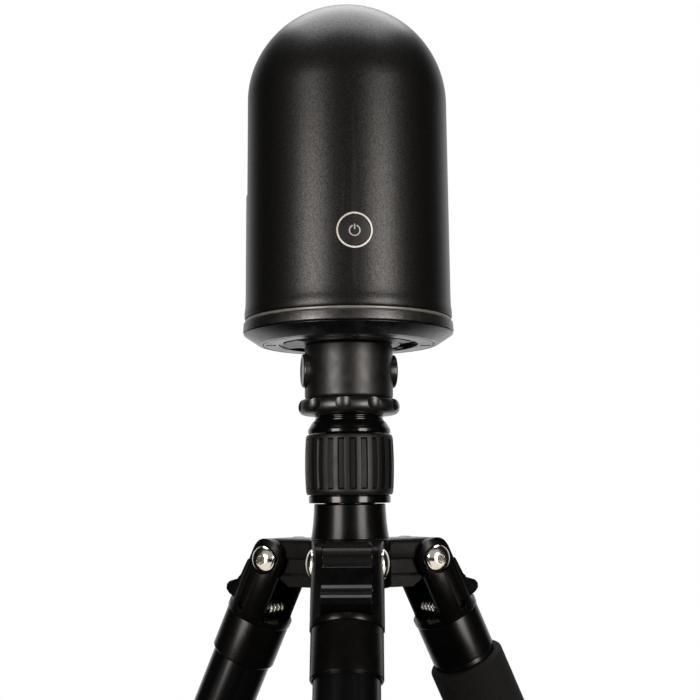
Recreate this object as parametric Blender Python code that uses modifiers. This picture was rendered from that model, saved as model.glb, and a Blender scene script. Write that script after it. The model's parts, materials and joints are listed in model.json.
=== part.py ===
"""Imaging laser scanner on a quick-release adapter and a small travel tripod.

The frame is +Z up, standing on z = 0, with the front leg and the power button towards -Y.
Heights in the column are counted from the leg pivots, so that the legs set the object's height.
"""

from math import cos, pi, radians, sin

import bmesh
import bpy
from mathutils import Matrix, Vector

MM = 0.001
GAP = 0.3 * MM

# Tripod legs: distances along a leg are counted down from its pivot
LEG_SPREAD = radians(26)
LEG_AZIMUTHS = {"front": radians(-90), "right": radians(30), "left": radians(150)}
PIVOT_RADIUS = 38.5 * MM
LEG_OFFSET = 0.5 * MM
FOOT_CENTRE = 318 * MM
FOOT_RADIUS = 13 * MM
SOLE_CUT = 1.2 * MM
UPPER_TUBE = {"outer": 14.1 * MM, "bore": 12.8 * MM, "top": 34 * MM, "end": 258 * MM}
MIDDLE_TUBE = {"outer": 12.0 * MM, "bore": 10.7 * MM, "top": 62 * MM, "end": 288 * MM}
LOWER_TUBE = {"outer": 10.0 * MM, "bore": 8.7 * MM, "top": 70 * MM, "end": 306 * MM}
LOCK_RADIUS = 16 * MM
LOCK_LENGTH = 29 * MM
FOAM = {"outer": 18.3 * MM, "bore": 14.5 * MM, "top": 54.5 * MM, "end": 150 * MM}

# Fork brackets, their bolts and the angle tabs
ARM_WIDTH = 21 * MM
EAR_INSIDE = 10.9 * MM
EAR_OUTSIDE = 15.9 * MM
EAR_HALF_WIDTH = 9 * MM
EAR_ROUND_CENTRE = 1.6 * MM
COLLAR_TOP = 27.8 * MM
COLLAR_STEP = 30.5 * MM
COLLAR_RADIUS = 15.45 * MM
COLLAR_END = 51.8 * MM
BOLT_RADIUS = 3 * MM
BOLT_HEAD_RADIUS = 6.5 * MM
BOLT_HALF_LENGTH = 18.25 * MM
SPOT_FACE = 14.2 * MM
TAB_PIN = Vector((2 * MM, 0, -25 * MM))
TAB_PIN_RADIUS = 1.5 * MM
TAB_WIDTH = 21.2 * MM

# Crown and column, from the pivots up
PIVOT_HEIGHT = (FOOT_CENTRE * cos(LEG_SPREAD) - LEG_OFFSET * sin(LEG_SPREAD)
                + FOOT_RADIUS - SOLE_CUT)
CROWN_BOTTOM = PIVOT_HEIGHT - 12.7 * MM
CROWN_TOP = PIVOT_HEIGHT + 9.8 * MM
HUB_RADIUS = 19 * MM
HUB_INSET = 14 * MM
BARREL_RADIUS = 9.7 * MM
COLUMN_RADIUS = 12 * MM
COLUMN_WALL = 1.2 * MM
COLUMN_BORE = 12.5 * MM
COLUMN_BOTTOM = PIVOT_HEIGHT - 225 * MM
COLUMN_LOCK_BOTTOM = PIVOT_HEIGHT + 26.1 * MM
GRIP_BOTTOM = PIVOT_HEIGHT + 29.9 * MM
GRIP_TOP = PIVOT_HEIGHT + 57.9 * MM
HEAD_CONE_BOTTOM = PIVOT_HEIGHT + 58.3 * MM
HEAD_CONE_TOP = PIVOT_HEIGHT + 64.3 * MM
RING_BOTTOM = PIVOT_HEIGHT + 67.3 * MM
RING_TOP = PIVOT_HEIGHT + 74.6 * MM
RING_FLUTES = 10
FIRST_FLUTE = -95
FLUTE_RADIUS = 5 * MM
FLUTE_CENTRE = 27.4 * MM
STUD_RADIUS = 4.7 * MM
STUD_TOP = PIVOT_HEIGHT + 78.5 * MM

# Quick-release adapter
ADAPTER_YAW = radians(11)
NECK_RADIUS = 20.9 * MM
NECK_TOP = PIVOT_HEIGHT + 100.2 * MM
RELEASE_HEIGHT = PIVOT_HEIGHT + 88.1 * MM
RELEASE_RADIUS = 8 * MM
RELEASE_FACE = 22.4 * MM
BAYONET_LUGS = 3

# Scanner base
BASE_BOTTOM = PIVOT_HEIGHT + 100.5 * MM
BASE_RADIUS = 50 * MM
PAN_TOP = BASE_BOTTOM + 6.0 * MM
BASE_RING_TOP = BASE_BOTTOM + 10.1 * MM
LIGHT_TOP = BASE_BOTTOM + 11.6 * MM
RECESS_RADIUS = 33 * MM
MOUNT_PLATE_BOTTOM = BASE_BOTTOM + 2.5 * MM

# Scanner head
HEAD_YAW = radians(4.6)
COVER_BOTTOM = BASE_BOTTOM + 11.9 * MM
LIP_TOP = BASE_BOTTOM + 16.4 * MM
DOME_CENTRE = BASE_BOTTOM + 116.7 * MM
DOME_RADIUS = 48.4 * MM
BODY_RADIUS = 48.8 * MM
LIP_RADIUS = 49.3 * MM
COVER_WALL = 2.4 * MM
SLOT_HALF = 11 * MM
SLOT_BOTTOM = BASE_BOTTOM + 71 * MM
CHEEK = 1.8 * MM
CHEEK_RADIUS = 43.9 * MM
DECK_BOTTOM = COVER_BOTTOM + 1.7 * MM
DECK_TOP = DECK_BOTTOM + 3 * MM
MIRROR_HEIGHT = DOME_CENTRE - 12 * MM
MIRROR_RADIUS = 9 * MM
BUTTON_HEIGHT = BASE_BOTTOM + 44.3 * MM
BEZEL_RADIUS = 8.05 * MM
BUTTON_RADIUS = 6.9 * MM
CAMERA_HEIGHTS = {"upper": 72 * MM, "middle": 50 * MM, "lower": 28 * MM}
CAMERA_RADIUS = 6 * MM

SMALL = 12
LEG_STEPS = 16
ROUND = 24
FINE = 40


# ---------------------------------------------------------------- scene and helpers

def clear_scene():
    for obj in list(bpy.data.objects):
        bpy.data.objects.remove(obj, do_unlink=True)


def new_collection(name):
    collection = bpy.data.collections.new(name)
    bpy.context.scene.collection.children.link(collection)
    return collection


def finish(name, colour, roughness, metallic=0.0):
    """A plain Principled material, made once and shared by the pieces of that finish."""
    material = bpy.data.materials.get(name)
    if material is None:
        material = bpy.data.materials.new(name)
        material.use_nodes = True
        shader = material.node_tree.nodes["Principled BSDF"]
        shader.inputs["Base Color"].default_value = (*colour, 1)
        shader.inputs["Roughness"].default_value = roughness
        shader.inputs["Metallic"].default_value = metallic
        material.diffuse_color = (*colour, 1)
    return material


def arc(centre_x, centre_y, radius, start, end, count):
    """Points of an arc, angles in degrees, both ends included."""
    angles = [radians(start + (end - start) * i / count) for i in range(count + 1)]
    return [(centre_x + radius * cos(a), centre_y + radius * sin(a)) for a in angles]


def empty(name, parent, location=(0, 0, 0), rotation=(0, 0, 0)):
    obj = bpy.data.objects.new(name, None)
    obj.empty_display_size = 0.02
    obj.location = location
    obj.rotation_euler = rotation
    obj.parent = parent
    PARTS.objects.link(obj)
    return obj


def turned(name, outline, steps=ROUND, ring=False):
    """A profile of (radius, height) points turned about Z. It runs down the outer side; a ring is closed."""
    count = len(outline)
    edges = [(i, (i + 1) % count) for i in range(count if ring else count - 1)]
    mesh = bpy.data.meshes.new(name)
    mesh.from_pydata([(x, 0, z) for x, z in outline], edges, [])
    obj = bpy.data.objects.new(name, mesh)
    screw = obj.modifiers.new("turn", "SCREW")
    screw.steps = steps
    screw.render_steps = steps
    screw.use_merge_vertices = True
    screw.merge_threshold = 0.00001
    PARTS.objects.link(obj)
    return obj


def tube(name, outer, bore, top, bottom, steps=ROUND):
    return turned(name, [(bore, top), (outer, top), (outer, bottom), (bore, bottom)], steps, ring=True)


def rod(name, radius, top, bottom, steps=LEG_STEPS):
    return turned(name, [(0, top), (radius, top), (radius, bottom), (0, bottom)], steps)


def plate(name, outline, thickness):
    """A flat outline in XY, extruded evenly to both sides of it along Z."""
    curve = bpy.data.curves.new(name + "_outline", "CURVE")
    curve.dimensions = "2D"
    curve.fill_mode = "BOTH"
    curve.extrude = thickness / 2
    spline = curve.splines.new("POLY")
    spline.points.add(len(outline) - 1)
    for point, (x, y) in zip(spline.points, outline):
        point.co = (x, y, 0, 1)
    spline.use_cyclic_u = True
    guide = bpy.data.objects.new(name + "_outline", curve)
    bpy.context.scene.collection.objects.link(guide)
    graph = bpy.context.evaluated_depsgraph_get()
    mesh = bpy.data.meshes.new_from_object(guide.evaluated_get(graph))
    bpy.data.objects.remove(guide, do_unlink=True)
    mesh.name = name
    shape = bmesh.new()
    shape.from_mesh(mesh)
    bmesh.ops.remove_doubles(shape, verts=shape.verts, dist=0.00001)
    bmesh.ops.recalc_face_normals(shape, faces=shape.faces)
    shape.to_mesh(mesh)
    shape.free()
    obj = bpy.data.objects.new(name, mesh)
    PARTS.objects.link(obj)
    return obj


def block(name, low, high):
    """A box between two corners."""
    low, high = Vector(low), Vector(high)
    mesh = bpy.data.meshes.new(name)
    shape = bmesh.new()
    bmesh.ops.create_cube(shape, size=1, matrix=Matrix.Translation((low + high) / 2)
                          @ Matrix.Diagonal((*(high - low), 1)))
    shape.to_mesh(mesh)
    shape.free()
    obj = bpy.data.objects.new(name, mesh)
    PARTS.objects.link(obj)
    return obj


def place(obj, parent, material=None, location=(0, 0, 0), rotation=(0, 0, 0)):
    obj.parent = parent
    obj.location = location
    obj.rotation_euler = rotation
    if material is not None:
        obj.data.materials.append(material)
        obj.data.shade_smooth()
        obj.data.set_sharp_from_angle(angle=radians(35))
    return obj


def tool(obj, parent, location=(0, 0, 0), rotation=(0, 0, 0)):
    """Makes an object a cutter or a shape to join: unseen, drawn as wire, kept apart from the parts."""
    place(obj, parent, None, location, rotation)
    PARTS.objects.unlink(obj)
    CUTTERS.objects.link(obj)
    obj.hide_render = True
    obj.display_type = "WIRE"
    return obj


def combine(obj, other, operation="DIFFERENCE"):
    boolean = obj.modifiers.new(operation.lower(), "BOOLEAN")
    boolean.operation = operation
    boolean.solver = "EXACT"
    boolean.object = other


ALONG_Y = (-pi / 2, 0, 0)
UPRIGHT = (pi / 2, 0, 0)


# ---------------------------------------------------------------- crown and column

def crown_arm(name):
    """The arm's side outline, from inside the hub out to the round end on the pivot."""
    low, high = CROWN_BOTTOM - PIVOT_HEIGHT, CROWN_TOP - PIVOT_HEIGHT
    outline = [(HUB_INSET, high), (HUB_INSET, low), (PIVOT_RADIUS - 11 * MM, low)]
    outline += arc(PIVOT_RADIUS, 0, BARREL_RADIUS, -120, 84, 7)
    return plate(name, outline, ARM_WIDTH)


def make_crown(root):
    metal = finish("crown_black", (0.012, 0.012, 0.013), 0.38)
    crown = tube("crown", HUB_RADIUS, COLUMN_BORE, CROWN_TOP, CROWN_BOTTOM)
    place(crown, root, metal)
    for name, azimuth in LEG_AZIMUTHS.items():
        centre = empty(f"crown_arm_{name}", root, (0, 0, PIVOT_HEIGHT), (0, 0, azimuth))
        combine(crown, tool(crown_arm(f"arm_{name}"), centre, rotation=UPRIGHT), "UNION")
        bore = rod(f"arm_bore_{name}", BOLT_RADIUS + 0.4 * MM, 20 * MM, -20 * MM, SMALL)
        combine(crown, tool(bore, centre, (PIVOT_RADIUS, 0, 0), ALONG_Y))
    passage = rod("crown_passage", COLUMN_BORE, CROWN_TOP + 5 * MM, CROWN_BOTTOM - 5 * MM, ROUND)
    combine(crown, tool(passage, root))

    low, high = CROWN_TOP + 0.1 * MM, COLUMN_LOCK_BOTTOM - GAP
    outline = [(COLUMN_BORE, high), (16.7 * MM, high), (18.2 * MM, low), (COLUMN_BORE, low)]
    place(turned("crown_collar", outline, ROUND, ring=True), root, metal)


def make_column_lock(root):
    black = finish("gloss_black", (0.01, 0.01, 0.01), 0.2)
    low, step, high = COLUMN_LOCK_BOTTOM, GRIP_BOTTOM - 0.4 * MM, GRIP_TOP
    bore = COLUMN_BORE
    outline = [(bore, high), (18.4 * MM, high), (18.4 * MM, step), (19.2 * MM, step)]
    outline += [(19.2 * MM, low), (bore, low)]
    place(turned("column_lock", outline, ROUND, ring=True), root, black)

    rubber = finish("grip_rubber", (0.03, 0.026, 0.022), 0.75)
    outline = [(18.8 * MM, GRIP_TOP), (19.6 * MM, GRIP_TOP), (20.9 * MM, GRIP_TOP - 14 * MM)]
    outline += [(19.8 * MM, GRIP_BOTTOM), (18.8 * MM, GRIP_BOTTOM)]
    place(turned("column_grip", outline, ROUND, ring=True), root, rubber)


def make_column(root):
    black = finish("gloss_black", (0.01, 0.01, 0.01), 0.2)
    bore = COLUMN_RADIUS - COLUMN_WALL
    column_top = HEAD_CONE_BOTTOM - GAP
    column = tube("center_column", COLUMN_RADIUS, bore, column_top, COLUMN_BOTTOM)
    place(column, root, finish("tube_black", (0.014, 0.014, 0.015), 0.3))

    plug = bore - 0.4 * MM
    neck = 16.3 * MM
    neck_top = RING_BOTTOM - GAP
    outline = [(0, STUD_TOP), (STUD_RADIUS, STUD_TOP), (STUD_RADIUS, neck_top), (neck, neck_top)]
    outline += [(neck, HEAD_CONE_TOP), (17.4 * MM, HEAD_CONE_TOP), (19.05 * MM, HEAD_CONE_BOTTOM + 0.6 * MM)]
    outline += [(18.4 * MM, HEAD_CONE_BOTTOM), (plug, HEAD_CONE_BOTTOM)]
    outline += [(plug, HEAD_CONE_BOTTOM - 18 * MM), (0, HEAD_CONE_BOTTOM - 18 * MM)]
    place(turned("column_head", outline), root, black)

    cap = COLUMN_BOTTOM - GAP
    outline = [(0, cap + 12 * MM), (plug, cap + 12 * MM), (plug, cap), (COLUMN_RADIUS + 0.8 * MM, cap)]
    outline += [(COLUMN_RADIUS + 0.8 * MM, cap - 5 * MM), (8 * MM, cap - 7 * MM), (0, cap - 7 * MM)]
    hook = place(turned("column_hook", outline), root, finish("steel", (0.5, 0.5, 0.5), 0.3, 1.0))
    eye = turned("hook_eye", arc(6 * MM, 0, 1.5 * MM, 90, -210, 5), SMALL, ring=True)
    combine(hook, tool(eye, root, (0, 0, cap - 12.5 * MM), UPRIGHT), "UNION")


# ---------------------------------------------------------------- legs

def fork_outline():
    """The bracket seen from the side: straps with round tops over the pivot, standing on the full collar."""
    wide, below = 20 * MM, -COLLAR_END - 5 * MM
    outline = [(-wide, below), (wide, below), (wide, -COLLAR_TOP), (EAR_HALF_WIDTH, -COLLAR_TOP)]
    outline += arc(0, EAR_ROUND_CENTRE, EAR_HALF_WIDTH, 0, 180, 8)
    return outline + [(-EAR_HALF_WIDTH, -COLLAR_TOP), (-wide, -COLLAR_TOP)]


def make_bracket(name, leg):
    """A fork round the arm and a collar round the tube, turned in one piece and cut to the side outline."""
    socket = UPPER_TUBE["outer"] + 0.4 * MM
    seat = -UPPER_TUBE["top"] + GAP
    outline = [(0, 20 * MM), (EAR_OUTSIDE, 20 * MM), (EAR_OUTSIDE, -COLLAR_STEP)]
    outline += [(COLLAR_RADIUS, -COLLAR_STEP - 0.5 * MM), (COLLAR_RADIUS, -COLLAR_END)]
    outline += [(socket, -COLLAR_END), (socket, seat), (0, seat)]
    bracket = turned(f"{name}_bracket", outline)
    place(bracket, leg, finish("bracket_black", (0.012, 0.012, 0.013), 0.42), (LEG_OFFSET, 0, 0))
    side = plate(f"{name}_fork_side", fork_outline(), 50 * MM)
    combine(bracket, tool(side, leg, rotation=UPRIGHT), "INTERSECT")
    slot = block(f"{name}_fork_slot", (-25 * MM, -EAR_INSIDE, -COLLAR_TOP), (25 * MM, EAR_INSIDE, 25 * MM))
    combine(bracket, tool(slot, leg))
    shank, head, far = BOLT_RADIUS + 0.4 * MM, BOLT_HEAD_RADIUS + 0.4 * MM, 25 * MM
    stepped = [(0, far), (head, far), (head, SPOT_FACE), (shank, SPOT_FACE)]
    stepped += [(x, -z) for x, z in reversed(stepped)]
    combine(bracket, tool(turned(f"{name}_bolt_way", stepped, LEG_STEPS), leg, rotation=ALONG_Y))
    pin_hole = rod(f"{name}_pin_hole", TAB_PIN_RADIUS + 0.4 * MM, far, -far, 8)
    combine(bracket, tool(pin_hole, leg, TAB_PIN, ALONG_Y))


def make_bolt(name, leg):
    """The pivot bolt: a plain shank with a domed head outside each ear."""
    seat = SPOT_FACE + GAP
    rim = seat + 1.2 * MM
    height = BOLT_HALF_LENGTH - rim
    dome = [(BOLT_HEAD_RADIUS * sin(a), rim + height * cos(a)) for a in (0, pi / 4, pi / 2)]
    outline = dome + [(BOLT_HEAD_RADIUS, seat), (BOLT_RADIUS, seat)]
    outline += [(x, -z) for x, z in reversed(outline)]
    place(turned(f"{name}_pivot_bolt", outline, SMALL), leg,
          finish("chrome", (0.75, 0.75, 0.74), 0.08, 1.0), rotation=ALONG_Y)


def make_tab(name, leg):
    """The angle tab: a nose facing the arm's round end, a flat plate, and a lip to pull."""
    outline = [(1, -27.2), (1.4, -20), (3, -10.6), (6, -8.6), (8.9, -5.6), (10.9, -5.2), (11.5, -6)]
    outline += [(12, -14.3), (13.4, -17.4), (16.5, -20.3), (17.4, -22.5), (16, -24.8), (13.3, -25.7)]
    outline += [(8, -26.3)]
    tab = plate(f"{name}_tab", [(x * MM, z * MM) for x, z in outline], TAB_WIDTH)
    pin = rod(f"{name}_tab_trunnion", TAB_PIN_RADIUS, 14.4 * MM, -14.4 * MM, 8)
    hinge = empty(f"{name}_tab_hinge", leg, TAB_PIN)
    combine(tab, tool(pin, hinge, rotation=ALONG_Y), "UNION")
    place(tab, hinge, finish("tab_black", (0.01, 0.01, 0.011), 0.25), -TAB_PIN, UPRIGHT)


def leg_tube(name, leg, sizes):
    pipe = tube(name, sizes["outer"], sizes["bore"], -sizes["top"], -sizes["end"], LEG_STEPS)
    return place(pipe, leg, finish("tube_black", (0.014, 0.014, 0.015), 0.3), (LEG_OFFSET, 0, 0))


def make_lock(name, leg, over, inner):
    """A twist lock: a collar round the end of one tube, closing on the next thinner one."""
    high = -over["end"] + 15 * MM
    step = -over["end"] - GAP
    low = high - LOCK_LENGTH
    wide, narrow = over["outer"] + 0.4 * MM, inner["outer"] + 0.4 * MM
    edge = 1.2 * MM
    outline = [(wide, high), (LOCK_RADIUS - edge, high), (LOCK_RADIUS, high - edge), (LOCK_RADIUS, low)]
    outline += [(narrow, low), (narrow, step), (wide, step)]
    place(turned(name, outline, LEG_STEPS, ring=True), leg, finish("lock_black", (0.02, 0.02, 0.02), 0.55),
          (LEG_OFFSET, 0, 0))


def make_foot(name, leg):
    """A rubber foot plugged into the lowest tube, its sole cut level at the leg's standing angle."""
    top = -LOWER_TUBE["end"] - GAP
    plug = LOWER_TUBE["bore"] - 0.4 * MM
    outline = [(0, top + 10 * MM), (plug, top + 10 * MM), (plug, top), (LOWER_TUBE["outer"] + 1 * MM, top)]
    round_end = arc(0, -FOOT_CENTRE, FOOT_RADIUS, 34, -90, 5)
    outline += round_end[:-1] + [(0, -FOOT_CENTRE - FOOT_RADIUS)]
    foot = place(turned(name, outline, LEG_STEPS), leg, finish("foot_rubber", (0.02, 0.02, 0.02), 0.8),
                 (LEG_OFFSET, 0, 0))
    below = block(f"{name}_ground", (-0.4, -0.4, -0.1), (0.4, 0.4, 0))
    combine(foot, tool(below, STAND))


def make_leg(side, azimuth, root):
    pivot = (PIVOT_RADIUS * cos(azimuth), PIVOT_RADIUS * sin(azimuth), PIVOT_HEIGHT)
    leg = empty(f"leg_{side}", root, pivot, (0, -LEG_SPREAD, azimuth))
    make_bracket(f"{side}_leg", leg)
    make_bolt(f"{side}_leg", leg)
    make_tab(f"{side}_leg", leg)
    leg_tube(f"{side}_leg_upper_tube", leg, UPPER_TUBE)
    leg_tube(f"{side}_leg_middle_tube", leg, MIDDLE_TUBE)
    leg_tube(f"{side}_leg_lower_tube", leg, LOWER_TUBE)
    make_lock(f"{side}_leg_upper_lock", leg, UPPER_TUBE, MIDDLE_TUBE)
    make_lock(f"{side}_leg_lower_lock", leg, MIDDLE_TUBE, LOWER_TUBE)
    make_foot(f"{side}_leg_foot", leg)
    if side == "right":
        sleeve = tube("foam_grip", FOAM["outer"], FOAM["bore"], -FOAM["top"], -FOAM["end"], LEG_STEPS)
        place(sleeve, leg, finish("foam", (0.015, 0.015, 0.015), 0.95), (LEG_OFFSET, 0, 0))


# ---------------------------------------------------------------- adapter

def make_locking_ring(root):
    """The scalloped ring that clamps the adapter on the stud."""
    bore = 15.5 * MM
    middle = (RING_BOTTOM + RING_TOP) / 2 - 0.3 * MM
    outline = [(bore, RING_TOP), (22.8 * MM, RING_TOP), (23.9 * MM, middle)]
    outline += [(22.0 * MM, RING_BOTTOM), (bore, RING_BOTTOM)]
    ring = turned("locking_ring", outline, 3 * RING_FLUTES, ring=True)
    place(ring, root, finish("gloss_black", (0.01, 0.01, 0.01), 0.2))
    for number in range(RING_FLUTES):
        azimuth = radians(FIRST_FLUTE + 360 / RING_FLUTES * number)
        flute = rod(f"ring_flute_{number}", FLUTE_RADIUS, RING_TOP + 3 * MM, RING_BOTTOM - 3 * MM, 8)
        combine(ring, tool(flute, root, (FLUTE_CENTRE * cos(azimuth), FLUTE_CENTRE * sin(azimuth), 0)))


def make_adapter(root):
    black = finish("anodised_black", (0.015, 0.014, 0.014), 0.35)
    boss = 15.1 * MM
    floor = RING_BOTTOM + GAP
    shoulder = RING_TOP + GAP
    outline = [(0, NECK_TOP), (NECK_RADIUS - 0.5 * MM, NECK_TOP), (NECK_RADIUS, NECK_TOP - 0.5 * MM)]
    outline += [(NECK_RADIUS, shoulder), (boss, shoulder), (boss, floor)]
    thread = STUD_RADIUS + 0.4 * MM
    outline += [(thread, floor), (thread, STUD_TOP + 1 * MM), (0, STUD_TOP + 1 * MM)]
    neck = place(turned("adapter_neck", outline, ROUND), root, black)
    axis = empty("adapter_axis", root, (0, 0, RELEASE_HEIGHT), (0, 0, ADAPTER_YAW))
    for side, sign in (("left", -1), ("right", 1)):
        recess = rod(f"release_recess_{side}", RELEASE_RADIUS + 0.6 * MM, 30 * MM, 11 * MM)
        combine(neck, tool(recess, axis, rotation=(0, sign * pi / 2, 0)))
        edge = 0.8 * MM
        outline = [(0, RELEASE_FACE), (RELEASE_RADIUS - edge, RELEASE_FACE)]
        outline += [(RELEASE_RADIUS, RELEASE_FACE - edge), (RELEASE_RADIUS, 14 * MM), (0, 14 * MM)]
        button = turned(f"release_button_{side}", outline, LEG_STEPS)
        place(button, axis, finish("button_black", (0.01,) * 3, 0.3), rotation=(0, sign * pi / 2, 0))

    half_lug = 30
    outline = []
    for number in range(BAYONET_LUGS):
        middle = 360 / BAYONET_LUGS * number + 180
        outline += arc(0, 0, 31 * MM, middle - half_lug, middle + half_lug, 6)
        outline += arc(0, 0, 24.5 * MM, middle + half_lug, middle + 120 - half_lug, 4)
    low, high = NECK_TOP + GAP, MOUNT_PLATE_BOTTOM - GAP
    place(plate("adapter_plate", outline, high - low), root, black, (0, 0, (low + high) / 2),
          (0, 0, ADAPTER_YAW))


# ---------------------------------------------------------------- scanner base

def make_base(root):
    satin = finish("base_black", (0.015, 0.015, 0.016), 0.45)
    low, high = BASE_BOTTOM, PAN_TOP
    outline = [(47.2 * MM, high), (49.9 * MM, high), (42.3 * MM, low), (40.6 * MM, low), (40.6 * MM, low + 0.8 * MM)]
    place(turned("base_pan", outline, FINE, ring=True), root, satin)
    place(tube("base_plate", 40.3 * MM, RECESS_RADIUS, low + 2.2 * MM, low), root, satin)
    place(tube("base_ring", BASE_RADIUS, 46.8 * MM, BASE_RING_TOP, PAN_TOP + GAP, FINE), root,
          finish("ring_black", (0.02, 0.019, 0.018), 0.4))
    place(tube("light_ring", 48.9 * MM, 46.5 * MM, LIGHT_TOP, BASE_RING_TOP + GAP, FINE), root,
          finish("light_line", (0.35, 0.32, 0.28), 0.35))
    steel = finish("plate_steel", (0.6, 0.6, 0.62), 0.35, 1.0)
    plate_top = MOUNT_PLATE_BOTTOM + 2 * MM
    place(tube("mount_plate", 42.3 * MM, 6 * MM, plate_top, MOUNT_PLATE_BOTTOM), root, steel)
    place(tube("azimuth_bearing", 22 * MM, 15.1 * MM, plate_top + 4.6 * MM, plate_top + GAP), root, steel)


# ---------------------------------------------------------------- scanner head

def dome_profile(outer_radius, top_radius, lip_radius, bottom):
    """Down the outside of a domed cylinder, from the apex to the bottom edge."""
    profile = [(0, DOME_CENTRE + top_radius)]
    profile += arc(0, DOME_CENTRE, top_radius, 90, 0, 8)[1:]
    profile += [(outer_radius, LIP_TOP + 4.5 * MM), (lip_radius, LIP_TOP), (lip_radius, bottom)]
    return profile


def cover_shell(name):
    outside = dome_profile(BODY_RADIUS, DOME_RADIUS, LIP_RADIUS, COVER_BOTTOM)
    inside = dome_profile(BODY_RADIUS - COVER_WALL, DOME_RADIUS - COVER_WALL, LIP_RADIUS - COVER_WALL,
                          COVER_BOTTOM)
    return turned(name, outside + inside[::-1], FINE)


def make_covers(head):
    shell = finish("shell_black", (0.016, 0.015, 0.015), 0.42)
    far, top = 60 * MM, DOME_CENTRE + 60 * MM
    for name, sign in (("front_cover", -1), ("rear_cover", 1)):
        cover = place(cover_shell(name), head, shell)
        edges = sorted((-sign * far, sign * GAP / 2))
        other = block(f"{name}_other_half", (-far, edges[0], COVER_BOTTOM - far), (far, edges[1], top))
        combine(cover, tool(other, head))
        edges = sorted((-sign * 30 * MM, sign * SLOT_HALF))
        slot = block(f"{name}_slot", (-far, edges[0], SLOT_BOTTOM), (far, edges[1], top))
        combine(cover, tool(slot, head))
        if sign < 0:
            hole = rod("button_hole", BEZEL_RADIUS + 0.3 * MM, 60 * MM, 30 * MM, ROUND)
            combine(cover, tool(hole, head, (0, 0, BUTTON_HEIGHT), (pi / 2, 0, 0)))
            continue
        for place_name, height in CAMERA_HEIGHTS.items():
            hole = rod(f"camera_hole_{place_name}", CAMERA_RADIUS + 0.3 * MM, 60 * MM, 30 * MM, SMALL)
            combine(cover, tool(hole, head, (0, 0, COVER_BOTTOM + height), ALONG_Y))


def make_chassis(head):
    """A deck, a slot floor, and two cheeks that line the scan slot."""
    alloy = finish("chassis_black", (0.02, 0.02, 0.022), 0.5)
    chassis = place(rod("head_chassis", 45.6 * MM, DECK_TOP, DECK_BOTTOM, ROUND), head, alloy)
    floor_low, floor_high = SLOT_BOTTOM - 5 * MM, SLOT_BOTTOM - 1.5 * MM
    floor = block("slot_floor", (-43 * MM, -SLOT_HALF - 0.5 * MM, floor_low),
                  (43 * MM, SLOT_HALF + 0.5 * MM, floor_high))
    combine(chassis, tool(floor, head), "UNION")
    post, shoulder, corner = 16 * MM, floor_low - 8 * MM, floor_low - 2 * MM
    outline = [(-post, DECK_TOP - 1 * MM), (post, DECK_TOP - 1 * MM), (post, shoulder), (CHEEK_RADIUS, corner)]
    outline += arc(0, DOME_CENTRE, CHEEK_RADIUS, 0, 180, 14)
    outline += [(-CHEEK_RADIUS, corner), (-post, shoulder)]
    for name, sign, bore in (("front", -1, 7 * MM), ("rear", 1, 4 * MM)):
        cheek = plate(f"{name}_cheek", outline, CHEEK)
        middle = sign * (SLOT_HALF + CHEEK / 2)
        combine(chassis, tool(cheek, head, (0, middle, 0), UPRIGHT), "UNION")
        hole = rod(f"{name}_cheek_bore", bore, 5 * MM, -5 * MM, SMALL)
        combine(chassis, tool(hole, head, (0, middle, MIRROR_HEIGHT), ALONG_Y))


def make_scan_drive(head):
    """Laser in front of the slot, motor behind it, and the slanted mirror between."""
    back = SLOT_HALF + CHEEK + GAP
    outline = [(0, 39 * MM), (9.5 * MM, 39 * MM), (9.5 * MM, back), (6.5 * MM, back), (6.5 * MM, SLOT_HALF)]
    outline += [(0, SLOT_HALF)]
    place(turned("laser_module", outline, LEG_STEPS), head, finish("laser_grey", (0.1, 0.1, 0.11), 0.4, 0.6),
          (0, 0, MIRROR_HEIGHT), (pi / 2, 0, 0))
    motor = [(0, 38 * MM), (11 * MM, 38 * MM), (11 * MM, back), (2.9 * MM, back), (2.9 * MM, 30 * MM)]
    motor += [(0, 30 * MM)]
    place(turned("mirror_motor", motor, LEG_STEPS), head, finish("motor_steel", (0.5, 0.5, 0.5), 0.35, 1.0),
          (0, 0, MIRROR_HEIGHT), ALONG_Y)
    outline = [(0, 28 * MM), (2.5 * MM, 28 * MM), (2.5 * MM, 9 * MM), (MIRROR_RADIUS, 9 * MM)]
    outline += [(MIRROR_RADIUS, -9 * MM), (0, -9 * MM)]
    mirror = place(turned("scan_mirror", outline, LEG_STEPS), head, finish("mirror", (0.9, 0.9, 0.9), 0.03, 1.0),
                   (0, 0, MIRROR_HEIGHT), ALONG_Y)
    slant = block("mirror_slant", (-20 * MM, -20 * MM, 0), (20 * MM, 20 * MM, 30 * MM))
    combine(mirror, tool(slant, head, (0, 0, MIRROR_HEIGHT), (pi / 4, 0, 0)))


def make_electronics(head):
    low = DECK_TOP + 1 * MM
    place(block("main_board", (-26 * MM, -34 * MM, low), (26 * MM, -32.4 * MM, BUTTON_HEIGHT + 14 * MM)), head,
          finish("board_green", (0.02, 0.12, 0.05), 0.5))
    place(block("battery", (-19 * MM, 15 * MM, low), (19 * MM, 33 * MM, low + 42 * MM)), head,
          finish("battery_grey", (0.08, 0.08, 0.09), 0.5))


def make_button(head):
    """The bezel and the button stand on an axis square to the front cover."""
    outline = [(7.2 * MM, 48.9 * MM), (BEZEL_RADIUS, 48.9 * MM), (BEZEL_RADIUS, 45 * MM), (7.2 * MM, 45 * MM)]
    place(turned("button_bezel", outline, ROUND, ring=True), head, finish("bezel", (0.6, 0.6, 0.6), 0.3, 1.0),
          (0, 0, BUTTON_HEIGHT), (pi / 2, 0, 0))
    outline = [(0, 48.7 * MM), (BUTTON_RADIUS, 48.7 * MM), (BUTTON_RADIUS, 44 * MM), (0, 44 * MM)]
    place(turned("power_button", outline, ROUND), head, finish("button_black", (0.01,) * 3, 0.3),
          (0, 0, BUTTON_HEIGHT), (pi / 2, 0, 0))


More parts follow.
